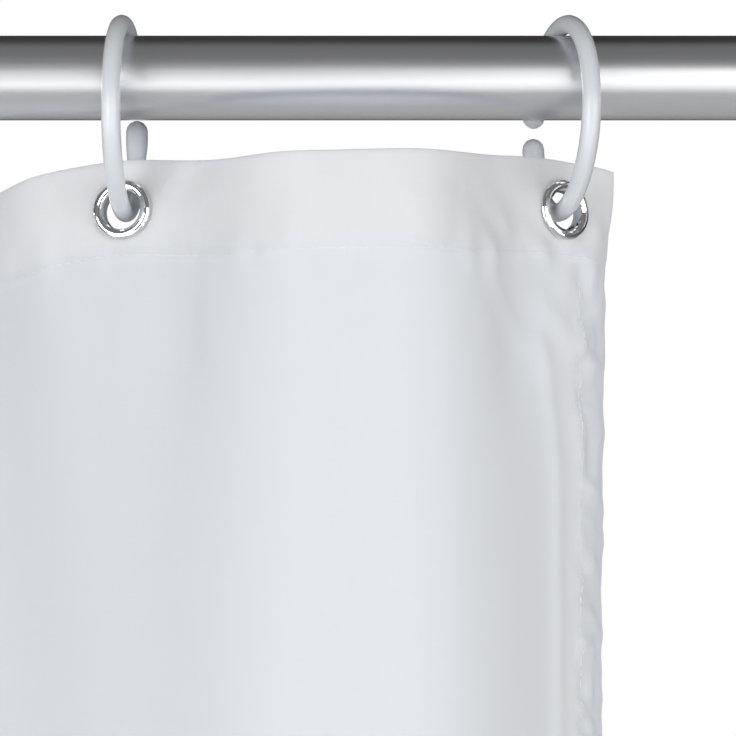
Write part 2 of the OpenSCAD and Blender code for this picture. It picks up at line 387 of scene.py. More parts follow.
def side_relief(u, v):
    """Puckers and the raised seam along the side hems, and slanting wrinkles near the header."""
    d = edge_distance(u)
    past_fold = FOLD_SHARE + (1 - FOLD_SHARE) * rise(d, *SIDE_FOLD_D)
    in_hem = past_fold * (1 - rise(d, *SIDE_PUCKERS_END_D))
    below_header = rise(v, *SIDE_PUCKERS_V)
    puckers = bumps(LARGE_HEM_PUCKERS, v, d) + bumps(SMALL_HEM_PUCKERS, v, d)
    puckers *= in_hem * (TOP_SHARE + (1 - TOP_SHARE) * below_header)
    near_header = band(v - WRINKLES_V, WRINKLES_REACH) * (1 - rise(d, *WRINKLES_END_D))
    slanting = near_header * bumps(SLANTING_WRINKLES, d + v, v - d)
    return puckers + below_header * furrow(SIDE_RIDGE, d - SIDE_SEAM_D) + slanting


def bottom_relief(u, v):
    """Puckers and the groove along the bottom hem's seam."""
    from_seam = v - BOTTOM_SEAM_V
    puckers = band(from_seam, BOTTOM_PUCKERS_REACH) * bumps(BOTTOM_PUCKERS, u, v)
    return puckers + furrow(BOTTOM_GROOVE, from_seam)


def body_relief(u, v):
    """Soft dents below the header, shallow waves, and an ironed crease beside each side hem."""
    gap = (u - SIDE_MARGIN) / EYELET_SPACING
    from_eyelet = (gap - np.round(gap)) * EYELET_SPACING
    side = np.where(np.round(gap).astype(int) % 2 == 0, 1, -1)
    dent = DENT_DEPTH * band(side * from_eyelet - DENT_ASIDE, DENT_HALF_W) * band(v - DENT_V, DENT_HALF_H)
    waves = rise(v, *WAVES_V) * (bumps(LONG_WAVES, u, v) + bumps(SHORT_WAVES, u, v))
    crease_at = CREASE_D + CREASE_LEAN * (1 - rise(v, *CREASE_BEND_V))
    in_crease = rise(v, *CREASE_V) * (1 - rise(v, *CREASE_END_V))
    return dent + waves + in_crease * furrow(CREASE, edge_distance(u) - crease_at)


def relief(u, v):
    """How far the cloth stands behind its smooth surface."""
    return header_relief(u, v) + side_relief(u, v) + bottom_relief(u, v) + body_relief(u, v)


def sag(u, v):
    """How far the cloth hangs down between the eyelets. The stiff corners stand up a little."""
    between = 1 - np.cos(np.pi * (u - SIDE_MARGIN) / EYELET_SPACING) ** SAG_SQUARENESS
    corner = CORNER_LIFT * (1 - smooth(edge_distance(u) / SIDE_MARGIN))
    return (SAG * between - corner) * (1 - SAG_LOST * smooth(v / SAG_LOST_BY))


def in_plane_wave(u, v):
    """The side edges run a little in and out where the hem is puckered."""
    outward = np.where(u < FLAT_W / 2, -1, 1)
    near = 1 - smooth(edge_distance(u) / EDGE_WAVE_W)
    shift = near * outward * bumps(EDGE_WAVE, v, np.full(len(v), 0.5))
    normal = back_normal(u, v)
    return shift[:, None] * np.stack([normal[:, 1], -normal[:, 0]], axis=-1)


def place(u, v, back):
    """Points of the hung cloth, that far behind the header's middle surface."""
    out = (back + relief(u, v))[:, None] * back_normal(u, v)
    return np.column_stack([middle(u, v) + out + in_plane_wave(u, v), TOP_Z - v - sag(u, v)])


# ---- Meshes from blocks of cells on the flat cloth ----

GRAIN = 1e-5


def steps(low, high, step):
    """Whole grains from low to high, about one step apart."""
    count = max(1, round((high - low) / step))
    return [round(x / GRAIN) for x in np.linspace(low, high, count + 1)]


def block_cells(us, vs, rows, columns):
    """The cells of one block, each as its corners' grains, going round with the front outside.
    A cell on the block's border takes in the finer corners of the block next to it."""
    for j in range(len(vs) - 1):
        for i in range(len(us) - 1):
            u0, u1, v0, v1 = us[i], us[i + 1], vs[j], vs[j + 1]
            left = inner(columns[u0], v0, v1) if i == 0 else []
            right = inner(columns[u1], v0, v1) if i == len(us) - 2 else []
            top = inner(rows[v0], u0, u1) if j == 0 else []
            bottom = inner(rows[v1], u0, u1) if j == len(vs) - 2 else []
            yield (
                [(u0, v0)]
                + [(u0, v) for v in left]
                + [(u0, v1)]
                + [(u, v1) for u in bottom]
                + [(u1, v1)]
                + [(u1, v) for v in reversed(right)]
                + [(u1, v0)]
                + [(u, v0) for u in reversed(top)]
            )


def inner(stops, low, high):
    """The stops strictly between low and high."""
    return stops[bisect.bisect_right(stops, low) : bisect.bisect_left(stops, high)]


def lattice(blocks):
    """(flat places, faces) of blocks of cells that meet edge to edge. Each block is a pair of
    lists of grains, across and down."""
    rows, columns = {}, {}
    for us, vs in blocks:
        for v in (vs[0], vs[-1]):
            rows.setdefault(v, set()).update(us)
        for u in (us[0], us[-1]):
            columns.setdefault(u, set()).update(vs)
    rows = {v: sorted(us) for v, us in rows.items()}
    columns = {u: sorted(vs) for u, vs in columns.items()}
    numbers, faces = {}, []
    for us, vs in blocks:
        for corners in block_cells(us, vs, rows, columns):
            faces.append([numbers.setdefault(corner, len(numbers)) for corner in corners])
    return np.array(list(numbers)) * GRAIN, faces


def cut_eyelet_holes(flat, faces):
    """Takes out the cells round each eyelet's barrel and draws the hole's edge to a circle."""
    centre_u = SIDE_MARGIN + EYELET_SPACING * np.round((flat[:, 0] - SIDE_MARGIN) / EYELET_SPACING)
    away = flat - np.column_stack([centre_u, np.full(len(flat), EYELET_DROP)])
    distance = np.linalg.norm(away, axis=1)
    inside = distance < CLOTH_HOLE_R
    kept = [face for face in faces if not inside[face].any()]
    edge = sorted({k for face in faces if inside[face].any() for k in face if not inside[k]})
    flat[edge] += away[edge] * (CLOTH_HOLE_R / distance[edge] - 1)[:, None]
    used = np.full(len(flat), -1)
    order = sorted({k for face in kept for k in face})
    used[order] = np.arange(len(order))
    return flat[order], [[used[k] for k in face] for face in kept]


def new_piece(name, points, faces, material, flat=None):
    """A smooth-shaded mesh object, with the flat cloth's metres as its UV map."""
    mesh = bpy.data.meshes.new(name)
    mesh.from_pydata([tuple(p) for p in points], [], faces)
    mesh.shade_smooth()
    if flat is not None:
        layer = mesh.uv_layers.new(name="flat_cloth")
        corners = np.zeros(len(mesh.loops), int)
        mesh.loops.foreach_get("vertex_index", corners)
        layer.data.foreach_set("uv", flat[corners].astype(np.float32).ravel())
    mesh.materials.append(material)
    piece = bpy.data.objects.new(name, mesh)
    bpy.context.scene.collection.objects.link(piece)
    return piece


# ---- The pieces of cloth ----

SIDE_STRIP = 34 * MM
FINE_BOTTOM = 36 * MM
MEDIUM_BOTTOM = 62 * MM
SEEN_BOTTOM = 220 * MM
BOTTOM_STRIP_V = DROP - 40 * MM

# The sizes of the cells
FINE_ROW = 1.2 * MM
FINE_STOP = 1.5 * MM
INTERLINING_ROW = 1.3 * MM
HEM_STOP = 1.4 * MM
BOTTOM_HEM_ROW = 1.6 * MM
SIDE_ROW = 2.2 * MM
MEDIUM_CELL = 2.4 * MM
BOTTOM_ROW = 3 * MM
SEEN_ROW = 4 * MM
BODY_STOP = 4.6 * MM
LOW_ROW = 9 * MM
CORNER_STOP = 0.1 * MM
FOLD_CELLS = 6


def across(step):
    """Stops across the middle of the cloth, between the side strips."""
    return steps(SIDE_STRIP, FLAT_W - SIDE_STRIP, step)


TOP_ROWS = steps(HEADER_FOLD_R, FINE_BOTTOM, FINE_ROW)
TOP_STOPS = across(FINE_STOP)
SIDE_ROWS = steps(FINE_BOTTOM, BOTTOM_STRIP_V, SIDE_ROW)
BOTTOM_ROWS = steps(BOTTOM_STRIP_V, DROP - BOTTOM_FOLD_R, BOTTOM_ROW)
BODY_STOPS = across(BODY_STOP)
# Across each side strip, from and to the folded edges
LEFT_STOPS = steps(SIDE_FOLD_R, SIDE_STRIP, FINE_STOP)
RIGHT_STOPS = steps(FLAT_W - SIDE_STRIP, FLAT_W - SIDE_FOLD_R, FINE_STOP)


def panel_blocks():
    """Fine cells at the header, hems and sides, and coarse ones between."""
    blocks = [(stops, TOP_ROWS) for stops in (LEFT_STOPS, TOP_STOPS, RIGHT_STOPS)]
    blocks += [(stops, SIDE_ROWS) for stops in (LEFT_STOPS, RIGHT_STOPS)]
    blocks += [(across(MEDIUM_CELL), steps(FINE_BOTTOM, MEDIUM_BOTTOM, MEDIUM_CELL))]
    blocks += [(BODY_STOPS, steps(MEDIUM_BOTTOM, SEEN_BOTTOM, SEEN_ROW))]
    blocks += [(BODY_STOPS, steps(SEEN_BOTTOM, BOTTOM_STRIP_V, LOW_ROW))]
    blocks += [(stops, BOTTOM_ROWS) for stops in (LEFT_STOPS, BODY_STOPS, RIGHT_STOPS)]
    return blocks


def curtain_panel(material):
    flat, faces = cut_eyelet_holes(*lattice(panel_blocks()))
    points = place(flat[:, 0], flat[:, 1], np.full(len(flat), PANEL_BACK))
    return new_piece("curtain_cloth", points, faces, material, flat)


def round_fold(w, radius):
    """A fold over an edge: w is measured along the cloth, and is under the radius on the fold.
    Returns (distance from the edge, distance behind the fold's middle)."""
    turn = np.clip((radius - w) / radius, 0, np.pi)
    on_fold = w < radius
    distance = np.where(on_fold, radius - radius * np.sin(turn), w)
    return distance, np.where(on_fold, radius * np.cos(turn), radius)


def fold_steps(radius):
    """Stops along the half turn of a fold."""
    return steps(radius - np.pi * radius, radius, np.pi * radius / FOLD_CELLS)


def closed(back, closed_back, w, low, high):
    """back up to w = low, and closed_back past w = high, where the cloth is stitched shut."""
    return back + (closed_back - back) * rise(w, low, high)


def header_facing(material):
    """The doubled top of the cloth: up the back, over the top edge and down to the panel."""
    low = fold_steps(HEADER_FOLD_R)
    high = steps(HEADER_FOLD_R, HEADER_H, FINE_ROW)
    corner = steps(0, SIDE_FOLD_R, CORNER_STOP)
    far_corner = steps(FLAT_W - SIDE_FOLD_R, FLAT_W, CORNER_STOP)
    stops = corner[:-1] + LEFT_STOPS[:-1] + TOP_STOPS[:-1] + RIGHT_STOPS[:-1] + far_corner
    flat, faces = cut_eyelet_holes(*lattice([(stops, low[:-1] + high)]))
    u, w = flat[:, 0], flat[:, 1]
    v, back = round_fold(w, HEADER_FOLD_R)
    back = closed(back, CLOSED_BACK, w, HEADER_SEAM_V - CLOSING_W, HEADER_SEAM_V)
    corner_round = np.clip(edge_distance(u) / (2 * SIDE_FOLD_R), 0, 1)
    most = PANEL_BACK + 2 * HEADER_FOLD_R * np.sqrt(1 - (1 - corner_round) ** 2)
    points = place(u, v, np.minimum(back, most))
    back_faces = [face[::-1] for face in faces]
    return new_piece("header_facing_cloth", points, back_faces, material, flat)


def header_interlining(material):
    """The stiffener between the two layers of the header."""
    stops = steps(INTERLINING_INSET, FLAT_W - INTERLINING_INSET, FINE_STOP)
    rows = steps(INTERLINING_INSET, HEADER_SEAM_V - CLOSING_W, INTERLINING_ROW)
    flat, faces = cut_eyelet_holes(*lattice([(stops, rows)]))
    points = place(flat[:, 0], flat[:, 1], np.zeros(len(flat)))
    return new_piece("header_interlining_cloth", points, faces, material, flat)


def side_hem(name, material, right):
    """A side edge's fold and its strip behind the panel, tucked in at the stitches."""
    width_stops = fold_steps(SIDE_FOLD_R)[:-1] + steps(SIDE_FOLD_R, SIDE_HEM_W, HEM_STOP)
    low_rows = [v for v in SIDE_ROWS if v * GRAIN < DROP - BOTTOM_HEM_H]
    rows = steps(HEADER_H + HEADER_GAP, FINE_BOTTOM, FINE_ROW)[:-1] + low_rows
    flat, faces = lattice([(width_stops, rows)])
    w, v = flat[:, 0], flat[:, 1]
    d, back = round_fold(w, SIDE_FOLD_R)
    back = closed(back - SIDE_FOLD_R, SIDE_CLOSED_BACK, w, SIDE_SEAM_D - CLOSING_W, SIDE_SEAM_D)
    u = FLAT_W - d if right else d
    outward = [face if right else face[::-1] for face in faces]
    return new_piece(name, place(u, v, back), outward, material, np.column_stack([u, v]))


def bottom_hem(material):
    """The bottom edge's fold and the pocket behind the panel that holds the weight tape."""
    rows = fold_steps(BOTTOM_FOLD_R)[:-1] + steps(BOTTOM_FOLD_R, BOTTOM_HEM_H, BOTTOM_HEM_ROW)
    stops = LEFT_STOPS[:-1] + BODY_STOPS[:-1] + RIGHT_STOPS
    flat, faces = lattice([(stops, rows)])
    u, w = flat[:, 0], flat[:, 1]
    height, back = round_fold(w, BOTTOM_FOLD_R)
    back = closed(back + PANEL_BACK + BOTTOM_FOLD_R, BOTTOM_CLOSED_BACK, w, *POCKET_CLOSING)
    v = DROP - height
    uv = np.column_stack([u, v])
    return new_piece("bottom_hem_cloth", place(u, v, back), faces, material, uv)


def weight_tape(material):
    """The tape inside the bottom hem, with its thickness."""
    across_stops = steps(TAPE_INSET, FLAT_W - TAPE_INSET, BODY_STOP)
    height_stops = steps(TAPE_LOW + TAPE_LIFT, TAPE_HIGH, MEDIUM_CELL)
    flat, faces = lattice([(across_stops, height_stops)])
    points = [
        place(flat[:, 0], DROP - flat[:, 1], np.full(len(flat), back)) for back in TAPE_FACES
    ]
    count = len(flat)
    numbers = {tuple(np.rint(p / GRAIN).astype(int)): k for k, p in enumerate(flat)}
    rim = (
        [(u, height_stops[0]) for u in across_stops]
        + [(across_stops[-1], h) for h in height_stops[1:]]
        + [(u, height_stops[-1]) for u in reversed(across_stops[:-1])]
        + [(across_stops[0], h) for h in reversed(height_stops[1:-1])]
    )
    edge = [numbers[corner] for corner in rim]
    sides = [[a, b, b + count, a + count] for a, b in zip(edge, edge[1:] + edge[:1])]
    whole = [face[::-1] for face in faces] + [[k + count for k in face] for face in faces] + sides
    uv = np.vstack([flat, flat])
    return new_piece("bottom_tape", np.vstack(points), whole, material, uv)


# ---- Stitches ----

STITCH_PITCH = 3.0 * MM
STITCH_LENGTH = 2.4 * MM
THREAD_R = 0.15 * MM
THREAD_SIDES = 5
# Each stitch's rings, as (share of its half length, share of the thread's radius)
STITCH_RINGS = [(-1, 0.2), (-0.75, 0.9), (0.75, 0.9), (1, 0.2)]
SEAM_INSET = 2 * MM


def stitches(starts, ends, back):
    """Short threads that lie on the cloth between flat places, that far behind its surface."""
    shares = np.array([(1 + along) / 2 for along, _ in STITCH_RINGS])
    radii = np.array([THREAD_R * size for _, size in STITCH_RINGS])
    flat = starts[:, None] + (ends - starts)[:, None] * shares[None, :, None]
    u, v = flat[..., 0].ravel(), flat[..., 1].ravel()
    centres = place(u, v, np.full(len(u), back)).reshape(len(starts), len(shares), 3)
    along = centres[:, -1] - centres[:, 0]
    along /= np.linalg.norm(along, axis=1)[:, None]
    normals = np.column_stack([back_normal(u, v), np.zeros(len(u))]).reshape(centres.shape)[:, 0]
    side = np.cross(along, normals)
    turns = (np.arange(THREAD_SIDES) * 2 * np.pi / THREAD_SIDES)[None, :, None]
    spokes = np.cos(turns) * normals[:, None] + np.sin(turns) * side[:, None]
    points = centres[:, :, None] + radii[None, :, None, None] * spokes[:, None]
    return points.reshape(-1, 3), stitch_faces(len(starts), len(shares))


def stitch_faces(count, rings):
    """Sides and both ends of that many stitches."""
    faces = []
    for first in range(0, count * rings * THREAD_SIDES, rings * THREAD_SIDES):
        last = first + (rings - 1) * THREAD_SIDES
        for base in range(first, last, THREAD_SIDES):
            beyond = base + THREAD_SIDES
            for k in range(THREAD_SIDES):
                turn = (k + 1) % THREAD_SIDES
                faces.append([base + k, base + turn, beyond + turn, beyond + k])
        faces.append([first + k for k in reversed(range(THREAD_SIDES))])
        faces.append([last + k for k in range(THREAD_SIDES)])
    return faces


def stitch_row(name, material, fixed, low, high, down):
    """A row of stitches seen on both faces, across at v = fixed, or down at u = fixed."""
    stops = np.arange(low + STITCH_PITCH, high - STITCH_PITCH, STITCH_PITCH)
    other = np.full(len(stops), fixed)
    starts, ends = (
        np.column_stack([other, s] if down else [s, other]) for s in (stops, stops + STITCH_LENGTH)
    )
    half = np.array([0, STITCH_PITCH / 2] if down else [STITCH_PITCH / 2, 0])
    front = stitches(starts, ends, STITCH_FRONT)
    rear = stitches(starts + half, ends + half, STITCH_REAR)
    count = len(front[0])
    faces = front[1] + [[k + count for k in face] for face in rear[1]]
    return new_piece(name, np.vstack([front[0], rear[0]]), faces, material)


def all_stitches(material):
    """Lockstitch along the header, the bottom hem and both side hems."""
    left_end, right_end = SEAM_INSET, FLAT_W - SEAM_INSET
    rows = [
        stitch_row("header_stitching", material, HEADER_SEAM_V, left_end, right_end, False),
        stitch_row("bottom_stitching", material, BOTTOM_SEAM_V, left_end, right_end, False),
    ]
    low, high = HEADER_H + SEAM_INSET, DROP - BOTTOM_HEM_H
    for side, u in {"left": SIDE_SEAM_D, "right": FLAT_W - SIDE_SEAM_D}.items():
        rows.append(stitch_row(f"{side}_hem_stitching", material, u, low, high, True))
    return rows


# ---- Rings ----

# For odd and even rings, in degrees
RING_YAW = (-4, 15)
MOUTH_TILT = (16, 4)
RING_MOUTH = 3.2 * MM
TIP_R = 3.3 * MM
BULB_FULL = 3 * MM
BULB_LENGTH = 11 * MM
WIRE_R = 2.75 * MM
ARC_POINTS = 132
SECTION_TURN = 12
CAP_TURNS = (25, 50, 75)
PARTING_H = 0.06 * MM
PARTING_DEG = 4


def section_angles():
    """Angles round the wire, with extra ones at the two parting lines."""
    even = set(range(0, 360, SECTION_TURN))
    extra = {angle % 360 for line in (0, 180) for angle in (line - PARTING_DEG, line + PARTING_DEG)}
    return sorted(even | extra)


def wire_sections(ring_r, mouth_half):
    """(centre, way along, radius) of each section, in the ring's own plane, tip to tip."""
    sections = []
    for phi in np.linspace(mouth_half, 2 * np.pi - mouth_half, ARC_POINTS):
        from_tip = ring_r * min(phi - mouth_half, 2 * np.pi - mouth_half - phi)
        in_bulb = 1 - float(rise(from_tip, BULB_FULL, BULB_LENGTH))
        outward, along = heading(math.degrees(phi)), heading(math.degrees(phi) + 90)
        sections.append((ring_r * outward, along, WIRE_R + (TIP_R - WIRE_R) * in_bulb))
    first, last = sections[0], sections[-1]
    for turn in CAP_TURNS:
        out, size = TIP_R * math.sin(math.radians(turn)), TIP_R * math.cos(math.radians(turn))
        sections.insert(0, (first[0] - out * first[1], first[1], size))
        sections.append((last[0] + out * last[1], last[1], size))
    return sections


def wire_mesh(sections, angles):
    """(points, faces) of the wire through those sections, with a pole past each end. X is out of
    the ring's own plane."""
    sides = len(angles)
    points = []
    for centre, along, radius in sections:
        outward = np.array([along[1], -along[0]])
        for angle in angles:
            r = radius + (PARTING_H if angle in (0, 180) else 0)
            flat = centre + r * math.cos(math.radians(angle)) * outward
            points.append([r * math.sin(math.radians(angle)), flat[0], flat[1]])
    faces = []
    end = len(points) - sides
    for start in range(0, end, sides):
        for s in range(sides):
            turn = (s + 1) % sides
            faces.append([start + s, start + turn, start + sides + turn, start + sides + s])
    points = np.array(points)
    pole_out = TIP_R * (1 - math.sin(math.radians(CAP_TURNS[-1])))
    for tip, neighbour, order in ((0, sides, 1), (end, end - sides, -1)):
        tip_middle, inner_middle = (points[k : k + sides].mean(axis=0) for k in (tip, neighbour))
        out = tip_middle - inner_middle
        out /= np.linalg.norm(out)
        pole = len(points)
        points = np.vstack([points, tip_middle + out * pole_out])
        rim = list(range(tip, tip + sides))[::order]
        faces += [[a, b, pole] for a, b in zip(rim[1:] + rim[:1], rim)]
    return points, faces


def turned(points, tilt, yaw):
    """The points turned about X and then about Z, by those degrees."""
    tilt, yaw = np.radians(tilt), np.radians(yaw)
    x, y, z = points.T
    y, z = y * np.cos(tilt) - z * np.sin(tilt), y * np.sin(tilt) + z * np.cos(tilt)
    x, y = x * np.cos(yaw) - y * np.sin(yaw), x * np.sin(yaw) + y * np.cos(yaw)
    return np.column_stack([x, y, z])


def ring(i, material):
    """An open ring with a round bulb at each end of its wire and a fine moulding line."""
    number = NUMBERS[i]
    low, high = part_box(f"ring_{number}")
    ring_r = (high.z - low.z) / 2 - WIRE_R
    centre = np.array([EYELETS[i].x, 0, EYELETS[i].z + ring_r])
    mouth_half = (RING_MOUTH + 2 * TIP_R) / ring_r / 2
    points, faces = wire_mesh(wire_sections(ring_r, mouth_half), section_angles())
    points = turned(points, MOUTH_TILT[i % 2], RING_YAW[i % 2]) + centre
    piece = new_piece(f"ring_{number}_moulding", points, faces, material)
    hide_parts(f"ring_{number}")
    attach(piece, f"ring_{number}")


# ---- Materials ----

# Each material's darker and lighter colour, and its least and most roughness
Look = namedtuple("Look", "dark light smoothest roughest")
LOOKS = {
    "cloth": Look((0.885, 0.886, 0.893, 1), (0.935, 0.934, 0.938, 1), 0.5, 0.7),
    "interlining": Look((0.80, 0.785, 0.775, 1), (0.90, 0.885, 0.875, 1), 0.8, 0.95),
    "weight_tape": Look((0.62, 0.63, 0.66, 1), (0.78, 0.79, 0.82, 1), 0.7, 0.9),
    "thread": Look((0.72, 0.73, 0.76, 1), (0.88, 0.89, 0.91, 1), 0.35, 0.55),
    "rod_steel": Look((0.60, 0.605, 0.62, 1), (0.68, 0.685, 0.70, 1), 0.26, 0.4),
    "socket_steel": Look((0.60, 0.605, 0.62, 1), (0.68, 0.685, 0.70, 1), 0.2, 0.34),
    "screw_steel": Look((0.36, 0.36, 0.38, 1), (0.46, 0.46, 0.48, 1), 0.25, 0.4),
    "eyelet_chrome": Look((0.74, 0.75, 0.77, 1), (0.86, 0.86, 0.87, 1), 0.02, 0.1),
    "ring_plastic": Look((0.60, 0.62, 0.65, 1), (0.71, 0.735, 0.76, 1), 0.32, 0.5),
    "floor": Look((0.74, 0.74, 0.74, 1), (0.80, 0.80, 0.80, 1), 0.7, 0.7),
}
THROUGH_CLOTH = (0.90, 0.925, 0.96, 1)
LIGHT_THROUGH = 0.5
SHEER = 0.05
CLOTH_PITCH = 0.25 * MM
TAPE_PITCH = 0.8 * MM
# Thick and thin yarns, in pitches: how wide an uneven patch is, and how long
YARN_PATCH_W = 3
YARN_PATCH_LENGTH = 90


def new_tree(name):
    material = bpy.data.materials.new(name)
    material.use_nodes = True
    material.node_tree.nodes.clear()
    return material, material.node_tree


def node(tree, kind, inputs=None, **settings):
    """A new node, with its settings, and each input set to a value or linked to a socket."""
    made = tree.nodes.new(kind)
    for name, value in settings.items():
        setattr(made, name, value)
    for name, value in (inputs or {}).items():
        if isinstance(value, bpy.types.NodeSocket):
            tree.links.new(value, made.inputs[name])
        else:
            made.inputs[name].default_value = value
    return made


def math_node(tree, operation, a, b=0.0):
    return node(tree, "ShaderNodeMath", {0: a, 1: b}, operation=operation).outputs[0]


def stretched_noise(tree, vector, scale, detail=2.0, roughness=0.5):
    """Noise whose features are 1/scale long along each axis."""
    mapping = node(tree, "ShaderNodeMapping", {"Vector": vector, "Scale": scale})
    inputs = {"Vector": mapping.outputs[0], "Scale": 1.0, "Detail": detail, "Roughness": roughness}
    return node(tree, "ShaderNodeTexNoise", inputs).outputs["Fac"]


def ramp(tree, value, low, high):
    """value from 0 to 1, as a number from low to high."""
    inputs = {"Value": value, "From Min": 0.0, "From Max": 1.0, "To Min": low, "To Max": high}
    return node(tree, "ShaderNodeMapRange", inputs).outputs[0]


def eased(tree, value, low, high):
    """0 where value is under low, 1 over high, and a smooth step between."""
    inputs = {"Value": value, "From Min": low, "From Max": high}
    made = node(tree, "ShaderNodeMapRange", inputs, interpolation_type="SMOOTHSTEP")
    return made.outputs[0]


def mix_colour(tree, share, a, b):
    made = node(tree, "ShaderNodeMix", data_type="RGBA")
    for socket, value in ((made.inputs[0], share), (made.inputs[6], a), (made.inputs[7], b)):
        if isinstance(value, bpy.types.NodeSocket):
            tree.links.new(value, socket)
        else:
            socket.default_value = value
    return made.outputs[2]


def bump(tree, height, distance, strength, normal=None):
    """A normal raised by up to that distance, on top of another normal if one is given."""
    inputs = {"Height": height, "Distance": distance, "Strength": strength}
    if normal is not None:
        inputs["Normal"] = normal
    return node(tree, "ShaderNodeBump", inputs).outputs[0]


def surface(tree, name, colour_share, roughness_share, normal, more=None, wear=None):
    """The Principled surface of that look, with its colour and roughness varied by two shares, and
    some wear added to the roughness if it is given."""
    look = LOOKS[name]
    base = mix_colour(tree, colour_share, look.dark, look.light)
    roughness = ramp(tree, roughness_share, look.smoothest, look.roughest)
    if wear is not None:
        roughness = math_node(tree, "ADD", roughness, wear)
    inputs = {"Base Color": base, "Roughness": roughness, "Normal": normal}
    return node(tree, "ShaderNodeBsdfPrincipled", inputs | (more or {})).outputs[0]


def object_place(tree):
    return node(tree, "ShaderNodeTexCoord").outputs["Object"]


def flat_place(tree):
    return node(tree, "ShaderNodeUVMap", uv_map="flat_cloth").outputs[0]


def finish_tree(tree, shader):
    node(tree, "ShaderNodeOutputMaterial", {"Surface": shader})


def weave_height(tree, uv, pitch):
    """Threads over and under each other, that far apart, with uneven thick and thin yarns."""
    parts = node(tree, "ShaderNodeSeparateXYZ", {"Vector": uv})
    waves = []
    for axis in (0, 1):
        turns = math_node(tree, "MULTIPLY", parts.outputs[axis], np.pi / pitch)
        waves.append(math_node(tree, "SINE", turns))
    over = math_node(tree, "MULTIPLY", waves[0], waves[1])
    wide, long = 1 / (YARN_PATCH_W * pitch), 1 / (YARN_PATCH_LENGTH * pitch)
    warp = stretched_noise(tree, uv, (wide, long, 1))
    weft = stretched_noise(tree, uv, (long, wide, 1))
    yarns = math_node(tree, "ADD", warp, weft)
    return math_node(tree, "ADD", math_node(tree, "MULTIPLY", over, 0.5), yarns), yarns


def cloth_material():
    """Woven polyester that lets light through, and is a little see-through."""
    material, tree = new_tree("cloth")
    uv = flat_place(tree)
    height, yarns = weave_height(tree, uv, CLOTH_PITCH)
    clouds = stretched_noise(tree, uv, (14, 7, 1), 3.0)
    crinkle = stretched_noise(tree, uv, (170, 130, 1), 4.0, 0.6)
    shade = math_node(tree, "ADD", ramp(tree, clouds, 0.0, 0.5), ramp(tree, yarns, -0.35, 0.5))
    normal = bump(tree, crinkle, 0.25 * MM, 0.35)
    normal = bump(tree, height, 0.05 * MM, 0.35, normal)
    more = {"Specular IOR Level": 0.3, "Sheen Weight": 0.25, "Sheen Roughness": 0.4}
    front = surface(tree, "cloth", shade, yarns, normal, more)
    inputs = {"Color": THROUGH_CLOTH, "Normal": normal}
    through = node(tree, "ShaderNodeBsdfTranslucent", inputs).outputs[0]
    lit = node(tree, "ShaderNodeMixShader", {0: LIGHT_THROUGH, 1: front, 2: through}).outputs[0]
    clear = node(tree, "ShaderNodeBsdfTransparent").outputs[0]
    finish_tree(tree, node(tree, "ShaderNodeMixShader", {0: SHEER, 1: lit, 2: clear}).outputs[0])
    return material


def interlining_material():
    """Matt non-woven felt with short random fibres."""
    material, tree = new_tree("interlining")
    fibres = stretched_noise(tree, object_place(tree), (1500, 1500, 700), 4.0, 0.7)
    normal = bump(tree, fibres, 0.08 * MM, 0.6)
    more = {"Specular IOR Level": 0.2}
    finish_tree(tree, surface(tree, "interlining", fibres, fibres, normal, more))
    return material


def tape_material():
    """Coarse woven tape."""
    material, tree = new_tree("weight_tape")
    height, yarns = weave_height(tree, flat_place(tree), TAPE_PITCH)
    normal = bump(tree, height, 0.2 * MM, 0.6)
    finish_tree(tree, surface(tree, "weight_tape", yarns, yarns, normal))
    return material


def thread_material():
    """Twisted polyester thread."""
    material, tree = new_tree("thread")
    twist = stretched_noise(tree, object_place(tree), (2600, 2600, 2600), 2.0)
    normal = bump(tree, twist, 0.05 * MM, 0.5)
    finish_tree(tree, surface(tree, "thread", twist, twist, normal, {"Sheen Weight": 0.3}))
    return material


def brushed_material(name, grain):
    """Satin steel, brushed along the axes where grain's scale is smallest."""
    material, tree = new_tree(name)
    place_in = object_place(tree)
    lines = stretched_noise(tree, place_in, grain, 3.0, 0.65)
    clouds = stretched_noise(tree, place_in, (9, 30, 30), 3.0)
    wear = ramp(tree, clouds, -0.03, 0.03)
    normal = bump(tree, lines, 0.01 * MM, 0.3)
    finish_tree(tree, surface(tree, name, clouds, lines, normal, {"Metallic": 1.0}, wear))
    return material


def chrome_material():
    """Bright plating with hair-fine scratches."""
    material, tree = new_tree("eyelet_chrome")
    scratches = stretched_noise(tree, object_place(tree), (900, 5000, 2400), 3.0, 0.7)
    normal = bump(tree, scratches, 0.004 * MM, 0.2)
    more = {"Metallic": 1.0}
    finish_tree(tree, surface(tree, "eyelet_chrome", scratches, scratches, normal, more))
    return material


def ring_material():
    """Frosted plastic: light goes a little way in, and the skin is finely grained."""
    material, tree = new_tree("ring_plastic")
    place_in = object_place(tree)
    frost = stretched_noise(tree, place_in, (1800, 1800, 1800), 3.0, 0.6)
    flow = stretched_noise(tree, place_in, (90, 60, 60), 3.0)
    normal = bump(tree, frost, 0.03 * MM, 0.35)
    more = {
        "IOR": 1.49,
        "Subsurface Weight": 0.35,
        "Subsurface Radius": (1.0, 1.0, 1.0),
        "Subsurface Scale": 1.5 * MM,
        "Coat Weight": 0.7,
        "Coat Roughness": 0.22,
    }
    finish_tree(tree, surface(tree, "ring_plastic", flow, frost, normal, more))
    return material


# The floor's own shading gives way to an even tone between the first two distances, in metres,
# and the tone to white between the last two
NEAR_FLOOR = 1.3
EVEN_FLOOR = 3.0
FAR_FLOOR = 50.0
FLOOR_TONE = (0.58, 0.58, 0.58, 1)
WHITE = (1, 1, 1, 1)


